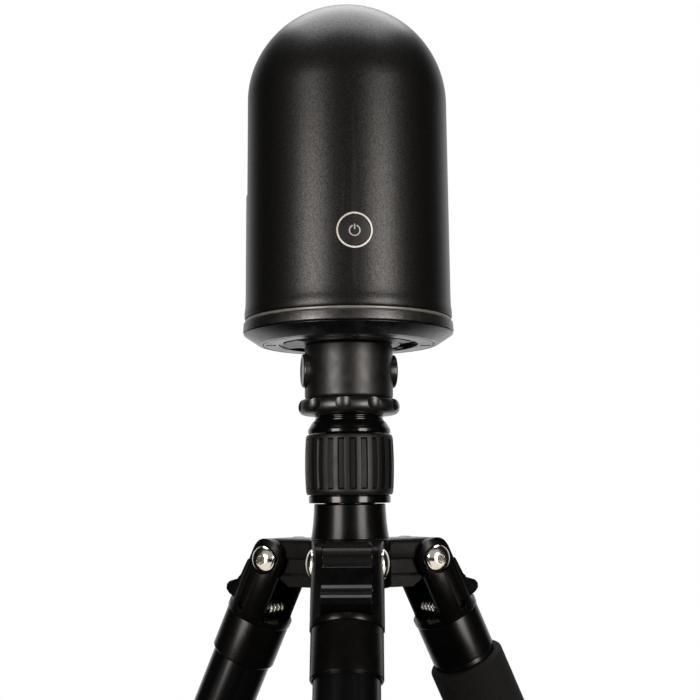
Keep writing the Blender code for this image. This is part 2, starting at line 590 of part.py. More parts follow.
def make_cameras(head):
    glass = finish("lens_glass", (0.02, 0.02, 0.03), 0.05)
    for name, height in CAMERA_HEIGHTS.items():
        outline = [(0, 49 * MM), (CAMERA_RADIUS, 49 * MM), (CAMERA_RADIUS, 42 * MM), (0, 42 * MM)]
        place(turned(f"camera_{name}", outline, SMALL), head, glass, (0, 0, COVER_BOTTOM + height), ALONG_Y)


def make_rotor(head):
    """The rotor carries the deck and turns in the bearing of the mounting plate."""
    outline = [(0, DECK_BOTTOM - GAP), (21 * MM, DECK_BOTTOM - GAP), (21 * MM, DECK_BOTTOM - 2.5 * MM)]
    outline += [(14.8 * MM, DECK_BOTTOM - 2.5 * MM), (14.8 * MM, MOUNT_PLATE_BOTTOM + 3 * MM)]
    outline += [(0, MOUNT_PLATE_BOTTOM + 3 * MM)]
    place(turned("azimuth_rotor", outline), head, finish("plate_steel", (0.6,) * 3, 0.35, 1.0))


# ---------------------------------------------------------------- assembly

def footprint_middle():
    """Middle of the assembly's box, front to back."""
    bpy.context.view_layer.update()
    graph = bpy.context.evaluated_depsgraph_get()
    lows, highs = [], []
    for obj in PARTS.objects:
        if obj.type != "MESH":
            continue
        evaluated = obj.evaluated_get(graph)
        ys = [(evaluated.matrix_world @ vertex.co).y for vertex in evaluated.data.vertices]
        lows.append(min(ys))
        highs.append(max(ys))
    return (min(lows) + max(highs)) / 2


clear_scene()
PARTS = new_collection("surveying_scanner")
CUTTERS = new_collection("cutters")
STAND = empty("stand", None)

make_crown(STAND)
make_column_lock(STAND)
make_column(STAND)
for leg_side, leg_azimuth in LEG_AZIMUTHS.items():
    make_leg(leg_side, leg_azimuth, STAND)
make_locking_ring(STAND)
make_adapter(STAND)
make_base(STAND)

HEAD = empty("head", STAND, rotation=(0, 0, HEAD_YAW))
make_covers(HEAD)
make_chassis(HEAD)
make_scan_drive(HEAD)
make_electronics(HEAD)
make_button(HEAD)
make_cameras(HEAD)
make_rotor(HEAD)

STAND.location.y -= footprint_middle()
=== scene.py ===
import json
from math import atan2, cos, degrees, pi, radians, sin

import bmesh
import bpy
from mathutils import Matrix, Vector


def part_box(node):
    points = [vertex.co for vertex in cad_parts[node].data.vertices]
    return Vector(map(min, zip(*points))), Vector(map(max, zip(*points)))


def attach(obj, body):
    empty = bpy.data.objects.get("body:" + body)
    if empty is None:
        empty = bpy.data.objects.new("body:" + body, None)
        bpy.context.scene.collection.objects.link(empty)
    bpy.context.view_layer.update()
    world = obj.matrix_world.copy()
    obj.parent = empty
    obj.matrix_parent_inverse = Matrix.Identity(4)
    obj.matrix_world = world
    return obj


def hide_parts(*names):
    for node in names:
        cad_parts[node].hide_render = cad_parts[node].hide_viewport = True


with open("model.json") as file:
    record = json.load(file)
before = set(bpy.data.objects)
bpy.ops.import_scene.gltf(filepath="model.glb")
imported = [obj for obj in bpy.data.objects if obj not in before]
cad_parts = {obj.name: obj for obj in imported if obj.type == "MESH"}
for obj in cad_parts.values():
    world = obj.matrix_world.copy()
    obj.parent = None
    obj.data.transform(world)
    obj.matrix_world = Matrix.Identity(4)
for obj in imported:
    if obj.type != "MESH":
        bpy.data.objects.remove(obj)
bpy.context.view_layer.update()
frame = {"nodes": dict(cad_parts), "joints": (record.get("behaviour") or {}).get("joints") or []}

# Lengths below are in millimetres, in the local frame of the piece, and MM turns them into metres.
MM = 0.001
SIDES = ("front", "right", "left")

# ---------------------------------------------------------------- frames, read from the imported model

JOINTS = {joint["name"]: joint for joint in frame["joints"]}
AXIS = Vector(JOINTS["head_turn"]["pos_m"])
PIVOT_HEIGHT = JOINTS["front_leg_spread"]["pos_m"][2]
BASE_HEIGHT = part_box("base_pan")[0].z


def upright(height, yaw=0.0):
    return Matrix.Translation((AXIS.x, AXIS.y, height)) @ Matrix.Rotation(yaw, 4, "Z")


def leg_frame(side):
    """Z up along the leg, Y along its hinge and X outwards, from the pivot."""
    hinge = JOINTS[f"{side}_leg_spread"]
    up = -Vector(JOINTS[f"{side}_middle_slide"]["axis"]).normalized()
    across = -Vector(hinge["axis"]).normalized()
    turn = Matrix((across.cross(up), across, up)).transposed().to_4x4()
    return Matrix.Translation(hinge["pos_m"]) @ turn


mirror_axis = JOINTS["mirror_spin"]["axis"]
release_axis = JOINTS["release_left_press"]["axis"]
COLUMN = upright(PIVOT_HEIGHT)
BASE = upright(BASE_HEIGHT)
HEAD = upright(BASE_HEIGHT, atan2(-mirror_axis[0], mirror_axis[1]))
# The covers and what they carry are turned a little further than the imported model.
FRONT = HEAD @ Matrix.Rotation(radians(0.8), 4, "Z")
ADAPTER = upright(PIVOT_HEIGHT, atan2(release_axis[1], release_axis[0]))
LEGS = {side: leg_frame(side) for side in SIDES}
# The leg tubes lie this far outwards of the hinge.
TUBE_SHIFT = 0.5
# The polished pieces, which two cards light on their own.
POLISHED_SLOTS = ("chrome", "steel")
CHROME = bpy.data.collections.new("polished_metal")

# ---------------------------------------------------------------- materials


def add(tree, kind, inputs=None, **settings):
    """A shader node. Inputs take a value or another node's output."""
    made = tree.nodes.new("ShaderNode" + kind)
    for key, value in settings.items():
        setattr(made, key, value)
    for key, value in (inputs or {}).items():
        if isinstance(value, bpy.types.NodeSocket):
            tree.links.new(value, made.inputs[key])
        else:
            made.inputs[key].default_value = value
    return made


def ranged(tree, value, low, high, out_low, out_high):
    inputs = {0: value, 1: low, 2: high, 3: out_low, 4: out_high}
    return add(tree, "MapRange", inputs, interpolation_type="SMOOTHSTEP").outputs[0]


def mixed(tree, factor, first, second):
    mix = add(tree, "Mix", data_type="RGBA")
    for index, value in ((0, factor), (6, first), (7, second)):
        if isinstance(value, bpy.types.NodeSocket):
            tree.links.new(value, mix.inputs[index])
        else:
            mix.inputs[index].default_value = value
    return mix.outputs[2]


def surface(name, colour, roughness, metallic=0.0, grain=2500.0, depth=0.02, vary=0.05,
            stretch=(1, 1, 1), coat=0.0, wear=0.25, mottle=0.15, specular=0.5, speckle=0.0):
    """Grain and mottling in the object's own coordinates, uneven roughness and slightly worn edges.

    grain is in waves a metre and depth in millimetres. speckle varies the sheen from grain to grain.
    """
    material = bpy.data.materials.new(name)
    material.use_nodes = True
    tree = material.node_tree
    shader = tree.nodes["Principled BSDF"]
    place = add(tree, "TexCoord").outputs["Object"]
    place = add(tree, "Mapping", {"Vector": place, "Scale": stretch}).outputs[0]
    fine = add(tree, "TexNoise", {"Vector": place, "Scale": grain, "Detail": 3.0}).outputs[0]
    broad = add(tree, "TexNoise", {"Vector": place, "Scale": 45.0, "Detail": 4.0}).outputs[0]
    smudge = add(tree, "TexNoise", {"Vector": place, "Scale": 260.0, "Detail": 5.0}).outputs[0]
    both = add(tree, "Math", {0: broad, 1: smudge}, operation="ADD").outputs[0]
    rough = ranged(tree, both, 0.7, 1.3, roughness - vary, roughness + vary)
    dark = [channel * (1 - mottle) for channel in colour] + [1]
    light = [channel * (1 + mottle) for channel in colour] + [1]
    base = mixed(tree, ranged(tree, both, 0.75, 1.25, 0, 1), dark, light)
    edge = add(tree, "NewGeometry").outputs["Pointiness"]
    worn = ranged(tree, edge, 0.52, 0.62, 0, wear)
    bare = [min(channel * 2.5 + 0.02, 1) for channel in colour] + [1]
    base = mixed(tree, worn, base, bare)
    bump = add(tree, "Bump", {"Height": fine, "Strength": 1.0, "Distance": depth * MM})
    tree.links.new(base, shader.inputs["Base Color"])
    tree.links.new(rough, shader.inputs["Roughness"])
    tree.links.new(bump.outputs[0], shader.inputs["Normal"])
    shader.inputs["Metallic"].default_value = metallic
    shine = ranged(tree, fine, 0.38, 0.62, specular * (1 - speckle), specular * (1 + speckle))
    tree.links.new(shine, shader.inputs["Specular IOR Level"])
    shader.inputs["Coat Weight"].default_value = coat
    shader.inputs["Coat Roughness"].default_value = 0.12
    return material


MATERIALS = {
    "shell": surface("shell", (0.0035, 0.0033, 0.0032), 0.35, grain=1500, depth=0.025,
                     vary=0.0, mottle=0.0, specular=0.42, speckle=0.28),
    "base_ring": surface("base_ring", (0.007, 0.0065, 0.006), 0.34, grain=1500, depth=0.05,
                         specular=0.9, speckle=0.2),
    "base_satin": surface("base_satin", (0.0035, 0.0035, 0.004), 0.30, depth=0.010, specular=0.8),
    "light_line": surface("light_line", (0.16, 0.15, 0.13), 0.36, depth=0.006, wear=0.0, specular=0.8),
    "steel": surface("steel", (0.56, 0.58, 0.62), 0.30, 1.0, depth=0.008, wear=0.1),
    "bezel": surface("bezel", (0.62, 0.59, 0.54), 0.45, 0.2, depth=0.006, wear=0.1),
    "button": surface("button", (0.004, 0.004, 0.004), 0.42, depth=0.008),
    "chassis": surface("chassis", (0.006, 0.006, 0.0065), 0.5, depth=0.02),
    "mirror": surface("mirror", (0.92, 0.86, 0.72), 0.03, 1.0, depth=0.0005,
                      vary=0.015, wear=0.0, mottle=0.02),
    "circuit_board": surface("circuit_board", (0.015, 0.10, 0.045), 0.38, grain=700, depth=0.05),
    "battery": surface("battery", (0.05, 0.05, 0.06), 0.5, depth=0.02),
    "lens": surface("lens", (0.004, 0.004, 0.009), 0.06, depth=0.0005, vary=0.03, coat=0.6, wear=0.0),
    "anodised": surface("anodised", (0.0045, 0.0042, 0.004), 0.40, depth=0.008, specular=0.5),
    "gloss_black": surface("gloss_black", (0.0025, 0.0025, 0.0025), 0.18, depth=0.003,
                           vary=0.05, specular=0.45),
    "tube_black": surface("tube_black", (0.0025, 0.0025, 0.0028), 0.24, depth=0.005, stretch=(1, 1, 0.04)),
    "cast_black": surface("cast_black", (0.0022, 0.0021, 0.0019), 0.26, grain=1400, depth=0.004,
                          vary=0.02, specular=0.28),
    "chrome": surface("chrome", (0.80, 0.76, 0.70), 0.17, 1.0, grain=1200, depth=0.002,
                      vary=0.04, wear=0.1),
    "rubber": surface("rubber", (0.006, 0.0052, 0.0048), 0.46, grain=2200, depth=0.02,
                      mottle=0.2, specular=0.4),
    "lock": surface("lock", (0.007, 0.007, 0.007), 0.5, depth=0.03),
    "foam": surface("foam", (0.006, 0.006, 0.006), 0.9, grain=1100, depth=0.2, mottle=0.3, specular=0.3),
}
BRASS = surface("brass", (0.55, 0.40, 0.19), 0.28, 1.0, grain=1500, depth=0.004, wear=0.1)
SCREW_GREY = surface("screw_grey", (0.16, 0.16, 0.17), 0.32, 1.0, depth=0.01)
BUTTON_SATIN = surface("release_satin", (0.012, 0.012, 0.012), 0.3, depth=0.006, wear=1.0, specular=0.8)
RING_BLACK = surface("ring_black", (0.003, 0.003, 0.003), 0.36, depth=0.004, specular=0.9)
TAB_BLACK = surface("tab_black", (0.002, 0.002, 0.002), 0.20, depth=0.003, specular=0.3)
# Painted shade: a darker, less shiny rubber for the faces inside the grip's recessed slots.
RECESS_PAINTED_SHADE = surface("rubber_recess_painted_shade", (0.003, 0.0026, 0.0024), 0.5, grain=2200, depth=0.02, specular=0.2)
SYMBOL = surface("symbol_grey", (0.50, 0.48, 0.45), 0.4, 0.3, depth=0.004, wear=0.0)

# ---------------------------------------------------------------- shapes, in millimetres

CORNER_STEPS = 4


def arc(centre_x, centre_z, radius, start, end, count):
    """Points of an arc, angles in degrees, both ends included."""
    angles = [radians(start + (end - start) * i / count) for i in range(count + 1)]
    return [(centre_x + radius * cos(a), centre_z + radius * sin(a)) for a in angles]


def softened(outline, radius, closed=False):
    """The outline with its corners rounded, for edges that catch the light."""
    points = [Vector(point) for point in outline]
    count = len(points)
    result = []
    for i, corner in enumerate(points):
        if not closed and i in (0, count - 1):
            result.append(tuple(corner))
            continue
        before = points[i - 1] - corner
        after = points[(i + 1) % count] - corner
        if before.length < 1e-6 or after.length < 1e-6 or before.angle(-after) < radians(18):
            result.append(tuple(corner))
            continue
        reach = min(radius, before.length * 0.45, after.length * 0.45)
        start = corner + before.normalized() * reach
        end = corner + after.normalized() * reach
        for step in range(CORNER_STEPS + 1):
            t = step / CORNER_STEPS
            point = start * (1 - t) ** 2 + corner * 2 * t * (1 - t) + end * t ** 2
            result.append(tuple(point))
    return result


def new_object(name, mesh):
    bmesh.ops.remove_doubles(mesh, verts=mesh.verts, dist=1e-7)
    bmesh.ops.recalc_face_normals(mesh, faces=mesh.faces)
    data = bpy.data.meshes.new(name)
    mesh.to_mesh(data)
    mesh.free()
    obj = bpy.data.objects.new(name, data)
    bpy.context.scene.collection.objects.link(obj)
    return obj


def turned(name, outline, steps=96, closed=False, shape=None):
    """A (radius, height) outline turned about Z. shape(radius, height, angle) gives another radius."""
    mesh = bmesh.new()
    columns = []
    for step in range(steps):
        angle = 2 * pi * step / steps
        column = []
        for radius, height in outline:
            reach = shape(radius, height, angle) if shape else radius
            column.append(mesh.verts.new((reach * cos(angle) * MM, reach * sin(angle) * MM, height * MM)))
        columns.append(column)
    count = len(outline)
    for step in range(steps):
        this, following = columns[step], columns[(step + 1) % steps]
        for i in range(count if closed else count - 1):
            j = (i + 1) % count
            mesh.faces.new((this[i], this[j], following[j], following[i]))
    return new_object(name, mesh)


def ring(name, outer, bore, top, bottom, edge=0.4, steps=96):
    outline = [(bore, top), (outer, top), (outer, bottom), (bore, bottom)]
    return turned(name, softened(outline, edge, closed=True), steps, closed=True)


def rod(name, radius, top, bottom, steps=64, edge=0.0):
    outline = [(0, top), (radius, top), (radius, bottom), (0, bottom)]
    return turned(name, softened(outline, edge) if edge else outline, steps)


def plate(name, outline, low, high):
    """An outline in XZ, extruded along Y."""
    mesh = bmesh.new()
    near = [mesh.verts.new((x * MM, low * MM, z * MM)) for x, z in outline]
    far = [mesh.verts.new((x * MM, high * MM, z * MM)) for x, z in outline]
    mesh.faces.new(near)
    mesh.faces.new(far[::-1])
    for i in range(len(outline)):
        j = (i + 1) % len(outline)
        mesh.faces.new((near[j], near[i], far[i], far[j]))
    return new_object(name, mesh)


def block(name, low, high):
    outline = [(low[0], low[2]), (high[0], low[2]), (high[0], high[2]), (low[0], high[2])]
    return plate(name, outline, low[1], high[1])


def moved(obj, shift=(0, 0, 0), turn=None):
    """Turns the mesh by (angle in degrees, axis) and then shifts it."""
    if turn:
        obj.data.transform(Matrix.Rotation(radians(turn[0]), 4, turn[1]))
    obj.data.transform(Matrix.Translation(Vector(shift) * MM))
    return obj


def joined(objects):
    """Several meshes as one object, as they are."""
    mesh = bmesh.new()
    for obj in objects:
        mesh.from_mesh(obj.data)
    for obj in objects[1:]:
        bpy.data.objects.remove(obj, do_unlink=True)
    mesh.to_mesh(objects[0].data)
    mesh.free()
    return objects[0]


def combined(obj, other, operation="DIFFERENCE"):
    """Bakes a Boolean, and removes the other object."""
    boolean = obj.modifiers.new("combine", "BOOLEAN")
    boolean.operation = operation
    boolean.solver = "EXACT"
    boolean.object = other
    bpy.context.view_layer.update()
    graph = bpy.context.evaluated_depsgraph_get()
    data = bpy.data.meshes.new_from_object(obj.evaluated_get(graph))
    obj.modifiers.clear()
    obj.data = data
    bpy.data.objects.remove(other, do_unlink=True)
    return obj


def piece(obj, place, body, slot, replaced=(), material=None, edge=0.0, sharp=32):
    """Puts a shape in its place in the object, with its finish, its body and the CAD nodes it stands for."""
    obj.data.materials.clear()
    obj.data.materials.append(material or MATERIALS[slot])
    obj.matrix_world = place
    obj.data.shade_smooth()
    if edge:
        bevel = obj.modifiers.new("edges", "BEVEL")
        bevel.width = edge * MM
        bevel.segments = 3
        bevel.limit_method = "ANGLE"
        bevel.angle_limit = radians(30)
        bevel.harden_normals = True
    else:
        obj.data.set_sharp_from_angle(angle=radians(sharp))
    if slot in POLISHED_SLOTS:
        CHROME.objects.link(obj)
    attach(obj, body)
    if replaced:
        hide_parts(*replaced)
    return obj


# ---------------------------------------------------------------- scanner head

DOME_CENTRE = 116.7
DOME_RADIUS = 48.4
COVER_WALL = 2.4
SLOT_HALF = 8
SLOT_BOTTOM = 71
MIRROR_HEIGHT = 104.7
BUTTON_HEIGHT = 45.2
BUTTON_SURFACE = 48.72
SYMBOL_SURFACE = 48.78
BEZEL_SURFACE = 48.92
CAMERA_HEIGHTS = {"upper": 83.9, "middle": 61.9, "lower": 39.9}


def cover_profile(inset):
    """Down the outside from the apex; the lip at the bottom is a little wider than the body."""
    profile = arc(0, DOME_CENTRE, DOME_RADIUS - inset, 90, 0, 40)
    flare = [(48.55, 80), (48.7, 45), (48.8, 21.5), (48.9, 18.2), (49.05, 16.9), (49.2, 15.8), (49.3, 14.6)]
    flare += [(49.3, 12.6), (49.0, 11.95)]
    profile += [(radius - inset, height) for radius, height in flare]
    return profile


def make_covers():
    for side, sign in (("front", -1), ("rear", 1)):
        outline = cover_profile(0) + cover_profile(COVER_WALL)[::-1]
        cover = turned(f"{side}_shell", outline, 192)
        low, high = sorted((-sign * 80, sign * 0.15))
        cover = combined(cover, block("other_half", (-80, low, -80), (80, high, 200)))
        low, high = sorted((-sign * 30, sign * SLOT_HALF))
        cover = combined(cover, block("slot", (-80, low, SLOT_BOTTOM), (80, high, 200)))
        if sign < 0:
            hole = moved(rod("hole", 8.25, 60, 30), (0, 0, BUTTON_HEIGHT), (90, "X"))
            cover = combined(cover, hole)
        else:
            for height in CAMERA_HEIGHTS.values():
                cover = combined(cover, moved(rod("hole", 6.3, 60, 30), (0, 0, height), (-90, "X")))
        piece(cover, FRONT, "head", "shell", [f"{side}_cover"], edge=0.35)


def make_chassis():
    chassis = rod("chassis", 45.6, 16.6, 13.6, 96, edge=0.5)
    floor = block("floor", (-43, -11.5, 66), (43, 11.5, 69.5))
    outline = [(-16, 15.6), (16, 15.6), (16, 58), (43.9, 64)]
    outline += arc(0, DOME_CENTRE, 43.9, 0, 180, 72) + [(-43.9, 64), (-16, 58)]
    front = plate("cheek", outline, -12.8, -11)
    rear = plate("cheek", outline, 11, 12.8)
    chassis = combined(chassis, floor, "UNION")
    for cheek, bore in ((front, 7), (rear, 4)):
        hole = moved(rod("bore", bore, 20, -20), (0, 0, MIRROR_HEIGHT), (90, "X"))
        chassis = combined(chassis, combined(cheek, hole), "UNION")
    piece(chassis, HEAD, "head", "chassis", ["head_chassis"], edge=0.25)


def make_scan_drive():
    """Laser in front of the slot, motor behind it, and the slanted mirror between."""
    high = (0, 0, MIRROR_HEIGHT)
    outline = [(0, 39), (9.5, 39), (9.5, 30), (9.1, 29.6), (9.1, 28.4), (9.5, 28), (9.5, 13.1), (6.5, 13.1)]
    outline += [(6.5, 11.2), (5.4, 11.2), (5.0, 12.4), (0, 12.9)]
    laser = moved(turned("laser", softened(outline, 0.4), 72), high, (90, "X"))
    piece(laser, HEAD, "head", "chassis", ["laser_module"])
    lens = moved(turned("laser_lens", arc(0, 2, 10, 90, 62, 8) + [(0, 10.4)], 48), high, (90, "X"))
    piece(lens, HEAD, "head", "lens")
    outline = [(0, 38), (7, 38), (7.4, 36.5), (11, 36.5), (11, 13.1), (2.9, 13.1), (2.9, 30), (0, 30)]
    motor = moved(turned("motor", softened(outline, 0.5), 72), high, (-90, "X"))
    piece(motor, HEAD, "head", "steel", ["mirror_motor"])
    outline = [(0, 28), (2.5, 28), (2.5, 9), (8.6, 9), (9, 8.6), (9, -9), (0, -9)]
    mirror = moved(turned("mirror", outline, 72), high, (-90, "X"))
    slant = moved(block("slant", (-20, -20, 0), (20, 20, 30)), high, (45, "X"))
    piece(combined(mirror, slant), HEAD, "mirror", "mirror", ["scan_mirror"], edge=0.15)


def following_cover(shape, radius):
    """Trims a shape that lies on the front of the head to a round surface of that radius."""
    return combined(shape, rod("trim", radius, BUTTON_HEIGHT + 20, BUTTON_HEIGHT - 20, 384), "INTERSECT")


def facing_front(shape):
    return moved(shape, (0, 0, BUTTON_HEIGHT), (90, "X"))


def make_button():
    seat = facing_front(ring("button_seat", 8.15, 6.95, 47.6, 45, 0.1))
    piece(seat, FRONT, "head", "chassis")
    bezel = facing_front(ring("bezel", 8.05, 7.3, 52, 45, 0.0))
    piece(following_cover(bezel, BEZEL_SURFACE), FRONT, "head", "bezel", ["button_bezel"], edge=0.08)
    button = facing_front(rod("button", 6.9, 52, 44.2, 96))
    button = following_cover(button, BUTTON_SURFACE)
    piece(button, FRONT, "power_button", "button", ["power_button"], edge=0.2)
    outer = arc(0, 0, 2.6, 112, 428, 40)
    inner = arc(0, 0, 2.05, 428, 112, 40)
    circle = plate("symbol_ring", [(x, z + BUTTON_HEIGHT - 0.2) for x, z in outer + inner], -52, -46)
    bar = block("symbol_bar", (-0.3, -52, BUTTON_HEIGHT + 0.3), (0.3, -46, BUTTON_HEIGHT + 2.8))
    for part in (circle, bar):
        name = part.name
        part = following_cover(part, SYMBOL_SURFACE)
        part.name = name
        piece(part, FRONT, "power_button", "button", material=SYMBOL)


def make_cameras():
    for name, height in CAMERA_HEIGHTS.items():
        outline = [(0, 45), (4.2, 45), (4.6, 48.6), (5.3, 49), (6, 48.6), (6, 42), (0, 42)]
        barrel = moved(turned(f"{name}_barrel", softened(outline, 0.25), 64), (0, 0, height), (-90, "X"))
        piece(barrel, FRONT, "head", "lens", [f"camera_{name}"], material=MATERIALS["anodised"])
        dome = [(x, z + 38.6) for x, z in arc(0, 0, 8.6, 90, 62, 10)] + [(4.1, 45.2), (0, 45.2)]
        glass = moved(turned(f"{name}_lens", dome, 48), (0, 0, height), (-90, "X"))
        piece(glass, FRONT, "head", "lens")


# ---------------------------------------------------------------- scanner base

BASE_SCREWS = 4
FIRST_SCREW = -85
SCREW_CIRCLE = 36.7


def make_base():
    outline = [(46.5, 10.4), (48.7, 10.4), (48.9, 10.7), (48.9, 11.4), (48.7, 11.6), (46.5, 11.6)]
    line = turned("light_line", outline, 192, closed=True)
    piece(line, BASE, "scanner_base", "light_line", ["light_ring"])
    outline = [(46.8, 10.1), (49.4, 10.1), (49.7, 9.8), (50.0, 6.0), (49.7, 5.4), (46.8, 5.4)]
    coarse = turned("base_band", softened(outline, 0.3, closed=True), 192, closed=True)
    piece(coarse, BASE, "scanner_base", "base_ring", ["base_ring"])
    outline = [(47.2, 5.1), (49.6, 5.1), (49.7, 4.8), (42.7, 0.2), (42.1, 0), (40.6, 0), (40.6, 0.8)]
    pan = turned("pan", softened(outline, 0.5, closed=True), 192, closed=True)
    piece(pan, BASE, "scanner_base", "base_satin", ["base_pan"])

    bottom = ring("bottom_plate", 40.3, 33, 2.2, 0, 0.35, 192)
    screws = []
    for number in range(BASE_SCREWS):
        angle = radians(FIRST_SCREW + 90 * number)
        x, y = SCREW_CIRCLE * cos(angle), SCREW_CIRCLE * sin(angle)
        bottom = combined(bottom, moved(rod("screw_hole", 2.5, 1.5, -1), (x, y, 0)))
        outline = [(0, 1.4), (2.1, 1.4), (2.1, 0.5), (1.6, 0.12), (0, 0.05)]
        screw = turned(f"base_screw_{number}", softened(outline, 0.3), 40)
        screw = combined(screw, block("screw_slot", (-3, -0.35, -1), (3, 0.35, 0.55)))
        screws.append(moved(screw, (x, y, 0)))
    piece(bottom, BASE, "scanner_base", "base_satin", ["base_plate"], edge=0.2)
    for screw in screws:
        piece(screw, BASE, "scanner_base", "base_satin", material=SCREW_GREY, edge=0.1)

    mount = ring("mount_face", 42.3, 6, 4.5, 2.5, 0.3)
    for number in range(3):
        middle = 120 * number + 60
        outline = arc(0, 0, 34.6, middle - 26, middle + 26, 16)
        outline += arc(0, 0, 29.6, middle + 26, middle - 26, 16)
        lug = moved(plate(f"bayonet_lug_{number}", outline, -2.45, -0.7), turn=(-90, "X"))
        piece(lug, BASE, "scanner_base", "base_satin", edge=0.3)
    piece(mount, BASE, "scanner_base", "steel", ["mount_plate"])
    bearing = ring("bearing", 22, 15.1, 9.1, 4.8, 0.4)
    piece(bearing, BASE, "scanner_base", "steel", ["azimuth_bearing"])
    outline = [(0, 13.3), (21, 13.3), (21, 11.1), (14.8, 11.1), (14.8, 5.5), (0, 5.5)]
    piece(turned("rotor", softened(outline, 0.4)), BASE, "head", "steel", ["azimuth_rotor"])


# ---------------------------------------------------------------- adapter, column and crown

RELEASE_HEIGHT = 88.1
ADAPTER_TOP = 100.5
RING_FLUTES = 10
FIRST_FLUTE = -94.5
FLUTE_CENTRE = 27.4
GRIP_SLOTS = 24
FIRST_SLOT = -90 + 6.2
SLOT_DEPTH = 0.95
SLOT_ENDS = (32.4, 56.0)
LEG_PIVOT = 38.5
ARM_TOP = 9.7
NOTCH_TOP = 8.8
ARM_BOTTOM = -12.7


def make_adapter():
    outline = [(0, 100.2), (20.3, 100.2), (20.9, 99.6), (20.9, 75.9), (20.4, 74.9), (15.1, 74.9)]
    outline += [(15.1, 67.6), (5.1, 67.6), (5.1, 79.5), (0, 79.5)]
    neck = turned("neck", softened(outline, 0.4), 128)
    for sign in (-1, 1):
        recess = [(0, 30), (9.4, 30), (8.7, 20.6), (8.6, 17), (8.5, 11), (0, 11)]
        neck = combined(neck, moved(turned("recess", recess, 72), (0, 0, RELEASE_HEIGHT), (sign * 90, "Y")))
    piece(neck, ADAPTER, "column", "anodised", ["adapter_neck"], edge=0.3)
    for side, sign in (("left", -1), ("right", 1)):
        outline = [(0, 21.6), (4.5, 21.7), (6.4, 22.1), (7.1, 22.4), (7.7, 22.1), (8.0, 21.4)]
        outline += [(8.0, 14), (0, 14)]
        button = turned(f"{side}_release", softened(outline, 0.3), 72)
        button = moved(button, (0, 0, RELEASE_HEIGHT), (sign * 90, "Y"))
        node = f"release_button_{side}"
        piece(button, ADAPTER, f"release_{side}", "button", [node], material=BUTTON_SATIN)

    outline = []
    for number in range(3):
        middle = 120 * number + 180
        outline += arc(0, 0, 31, middle - 30, middle + 30, 20)
        outline += arc(0, 0, 24.5, middle + 30, middle + 90, 16)
    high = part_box("adapter_plate")[1].z / MM - PIVOT_HEIGHT / MM
    lugs = moved(plate("bayonet_plate", outline, -high, -ADAPTER_TOP), turn=(-90, "X"))
    piece(lugs, ADAPTER, "column", "anodised", ["adapter_plate"], edge=0.3)


def make_locking_ring():
    outline = [(15.5, 74.6), (21.2, 74.6), (22.2, 74.4), (23.0, 73.8), (23.6, 72.8), (23.9, 71.4)]
    outline += [(23.9, 70.4), (23.6, 69.2), (23.0, 68.2), (22.2, 67.6), (21.2, 67.3), (15.5, 67.3)]
    scallops = turned("scallops", softened(outline, 0.5, closed=True), 180, closed=True)
    cutters = []
    for number in range(RING_FLUTES):
        angle = radians(FIRST_FLUTE + 360 / RING_FLUTES * number)
        scoop = [(0, 80), (5.6, 80), (5.3, 72.4), (5.2, 70.6), (4.6, 69.2), (3.6, 68.2), (0, 67.9)]
        centre = (FLUTE_CENTRE * cos(angle), FLUTE_CENTRE * sin(angle), 0)
        cutters.append(moved(turned("scoop", scoop, 48), centre))
    scallops = combined(scallops, joined(cutters))
    piece(scallops, COLUMN, "locking_ring", "gloss_black", ["locking_ring"], material=RING_BLACK, edge=0.2)
    scallops.name = "scalloped_ring"


def make_column():
    outline = [(0, 78.5), (4.2, 78.5), (4.7, 78), (4.7, 67), (16.0, 67), (16.3, 66.7), (16.3, 66.2)]
    outline += [(15.8, 65.9), (15.8, 65.4), (16.4, 65.1), (16.4, 64.4), (17.3, 63.9), (18.5, 62.0)]
    outline += [(19.3, 60.6), (19.5, 59.6), (19.4, 58.6), (18.9, 58.4), (10.4, 58.3), (10.4, 40.3), (0, 40.3)]
    cone = turned("head_cone", softened(outline, 0.25), 128)
    piece(cone, COLUMN, "column", "gloss_black", ["column_head"])
    low, high = [v.z / MM - PIVOT_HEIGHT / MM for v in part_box("center_column")]
    piece(ring("column_tube", 12, 10.8, high, low, 0.3), COLUMN, "column", "tube_black", ["center_column"])
    cap = low - 0.3
    outline = [(0, cap + 12), (10.4, cap + 12), (10.4, cap), (12.8, cap)]
    outline += [(12.8, cap - 5), (8, cap - 7), (0, cap - 7)]
    hook = turned("hook", softened(outline, 0.8), 96)
    eye = turned("eye", arc(6, 0, 1.5, 0, 340, 17), 64, closed=True)
    hook = combined(hook, moved(eye, (0, 0, cap - 12.5), (90, "X")), "UNION")
    piece(hook, COLUMN, "column", "steel", ["column_hook"])


def grip_radius(height):
    """The grip's outside, a little barrelled."""
    return 20.9 - 0.0028 * (height - 44) ** 2


def grip_shape(radius, height, angle):
    """Recessed slots round the grip: inside their height the radius drops by nearly a millimetre."""
    if radius < 19.3:
        return radius
    low, high = SLOT_ENDS
    across = ((angle - radians(FIRST_SLOT)) / radians(360 / GRIP_SLOTS) + 0.5) % 1 - 0.5
    inside = min(max((0.29 - abs(across)) / 0.05, 0), 1)
    ends = min(max((height - low) / 0.8, 0), 1) * min(max((high - height) / 0.8, 0), 1)
    return radius - SLOT_DEPTH * inside * ends


